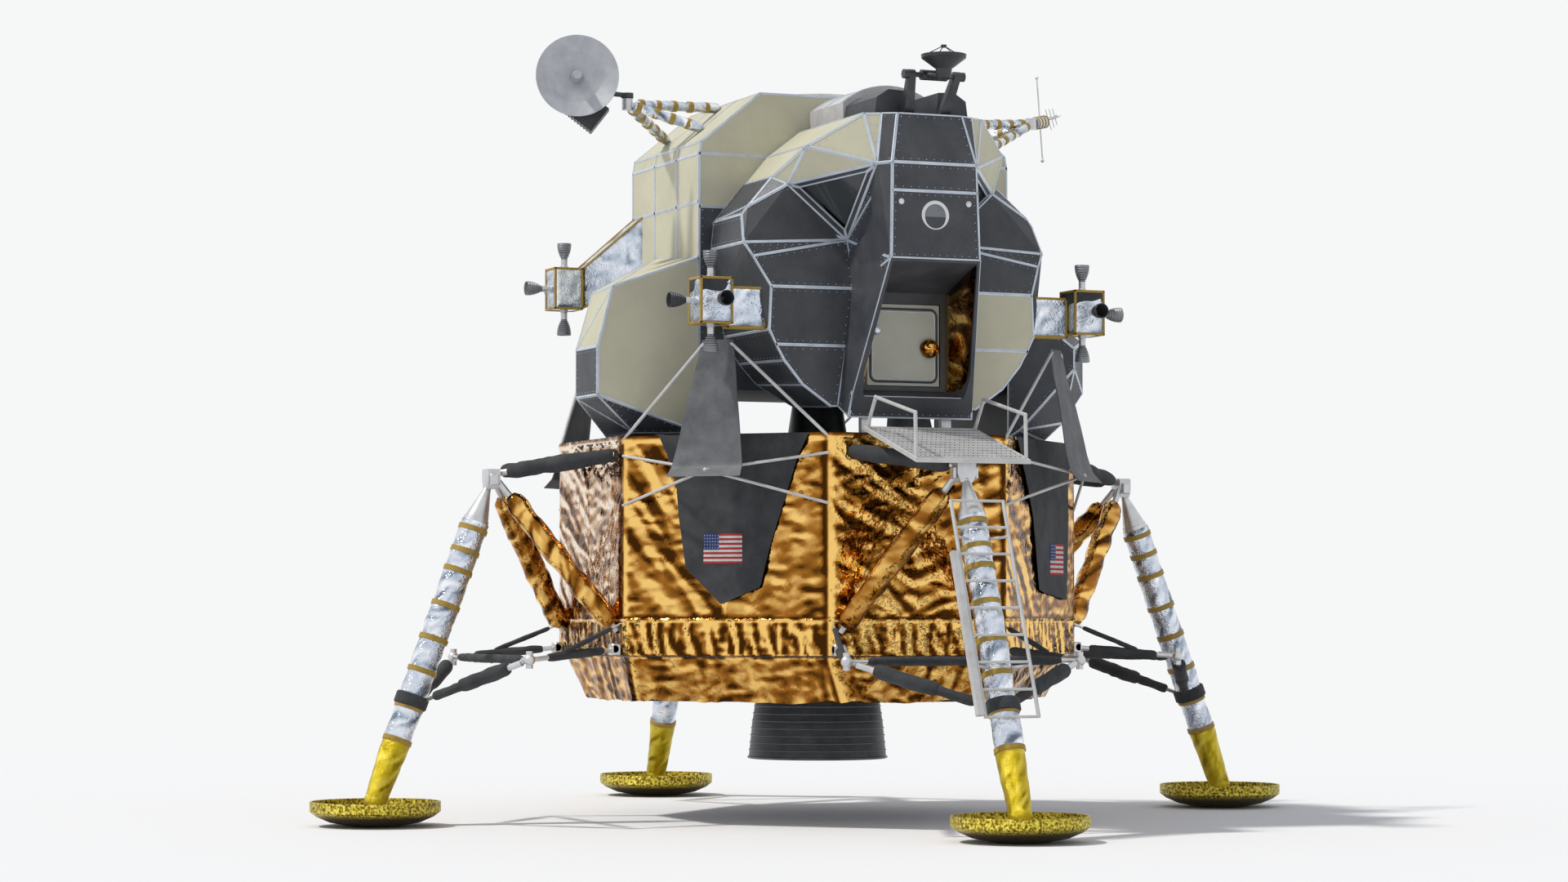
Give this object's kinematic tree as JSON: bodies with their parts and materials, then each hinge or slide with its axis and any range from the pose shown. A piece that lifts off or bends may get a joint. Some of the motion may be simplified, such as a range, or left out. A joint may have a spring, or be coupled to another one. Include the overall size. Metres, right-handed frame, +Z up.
{
  "type": "lunar lander",
  "caption": "Two-stage crewed lander on braced legs with foil-covered base, faceted cabin, porch and ladder, thruster quads, steerable dish and radar.",
  "frame": {"origin": "middle of the ground between the four foot pads", "axes": "+Z up, -Y forwards through the hatch and the ladder leg, +X to the vehicle's own left (port)"},
  "size_m": [9.449, 9.449, 6.9164],
  "materials": {
    "gold_foil": "crinkled amber film with a mirror face",
    "silver_foil": "crinkled silver film",
    "yellow_foil": "mottled yellow film over brown",
    "black_wrap": "matte black cloth wrap",
    "bare_metal": "satin",
    "dark_metal": "matte charcoal",
    "charcoal_panel": "matte charcoal sheet",
    "tan_panel": "matte tan sheet",
    "white_panel": "satin light grey",
    "glass": "dark tinted"
  },
  "bodies": {
    "lander": {"descent_stage": "gold_foil", "base_heat_shield": "gold_foil", "leg_front": "silver_foil", "leg_starboard": "silver_foil", "leg_back": "silver_foil", "leg_port": "silver_foil", "foot_pad_front": "yellow_foil", "foot_pad_starboard": "yellow_foil", "foot_pad_back": "yellow_foil", "foot_pad_port": "yellow_foil", "outrigger_front": "gold_foil", "outrigger_starboard": "gold_foil", "outrigger_back": "gold_foil", "outrigger_port": "gold_foil", "leg_truss_front": "black_wrap", "leg_truss_starboard": "black_wrap", "leg_truss_back": "black_wrap", "leg_truss_port": "black_wrap", "side_struts_front": "black_wrap", "side_struts_starboard": "black_wrap", "side_struts_back": "black_wrap", "side_struts_port": "black_wrap", "ladder": "bare_metal", "porch": "bare_metal", "handrails": "bare_metal", "deflector_front_starboard": "black_wrap", "deflector_front_port": "black_wrap", "deflector_back_starboard": "black_wrap", "deflector_back_port": "black_wrap", "side_blankets": "black_wrap", "stage_fittings": "bare_metal", "ascent_engine": "dark_metal", "cabin_front": "charcoal_panel", "cabin_port": "charcoal_panel", "cabin_starboard": "charcoal_panel", "window_panes": "glass", "hatch_hinges": "bare_metal", "midsection": "tan_panel", "tank_bay_port": "charcoal_panel", "tank_bay_starboard": "tan_panel", "aft_bay": "tan_panel", "docking_tunnel": "bare_metal", "roof_fairing": "white_panel", "radar_fairings": "dark_metal", "radar_mount": "dark_metal", "rcs_quad_front_starboard": "silver_foil", "rcs_quad_front_port": "silver_foil", "rcs_quad_back_starboard": "silver_foil", "rcs_quad_back_port": "silver_foil", "dish_boom": "silver_foil", "aerial_boom": "silver_foil", "side_aerial": "bare_metal"},
    "gimbal_ring": {"gimbal_ring": "dark_metal"},
    "descent_engine": {"descent_engine": "dark_metal"},
    "forward_hatch": {"forward_hatch": "tan_panel"},
    "overhead_hatch": {"overhead_hatch": "bare_metal"},
    "dish_yoke": {"dish_yoke": "dark_metal"},
    "dish_antenna": {"dish_antenna": "white_panel"},
    "radar_antenna": {"radar_antenna": "dark_metal"}
  },
  "joints": [
    {"name": "engine_gimbal_pitch", "type": "hinge", "parent": "lander", "child": "gimbal_ring", "pos_m": [0, 0, 2.25], "axis": [1, 0, 0], "range_deg": [-6, 6]},
    {"name": "engine_gimbal_roll", "type": "hinge", "parent": "gimbal_ring", "child": "descent_engine", "pos_m": [0, 0, 2.25], "axis": [0, 1, 0], "range_deg": [-6, 6]},
    {"name": "forward_hatch_hinge", "type": "hinge", "parent": "lander", "child": "forward_hatch", "pos_m": [-0.362, -1.815, 4.158], "axis": [0, 0, 1], "range_deg": [0, 85]},
    {"name": "overhead_hatch_hinge", "type": "hinge", "parent": "lander", "child": "overhead_hatch", "pos_m": [0, 0.478, 6.274], "axis": [1, 0, 0], "range_deg": [0, 85]},
    {"name": "dish_azimuth", "type": "hinge", "parent": "lander", "child": "dish_yoke", "pos_m": [-1.951, -0.27, 6.357], "axis": [0, 0, 1], "range_deg": [-75, 90]},
    {"name": "dish_elevation", "type": "hinge", "parent": "dish_yoke", "child": "dish_antenna", "pos_m": [-2.44314, -0.30655, 6.537], "axis": [0.9563, -0.2924, 0], "range_deg": [-60, 10]},
    {"name": "radar_trunnion", "type": "hinge", "parent": "lander", "child": "radar_antenna", "pos_m": [0, -2.53, 6.422], "axis": [1, 0, 0], "range_deg": [0, 70]}
  ]
}
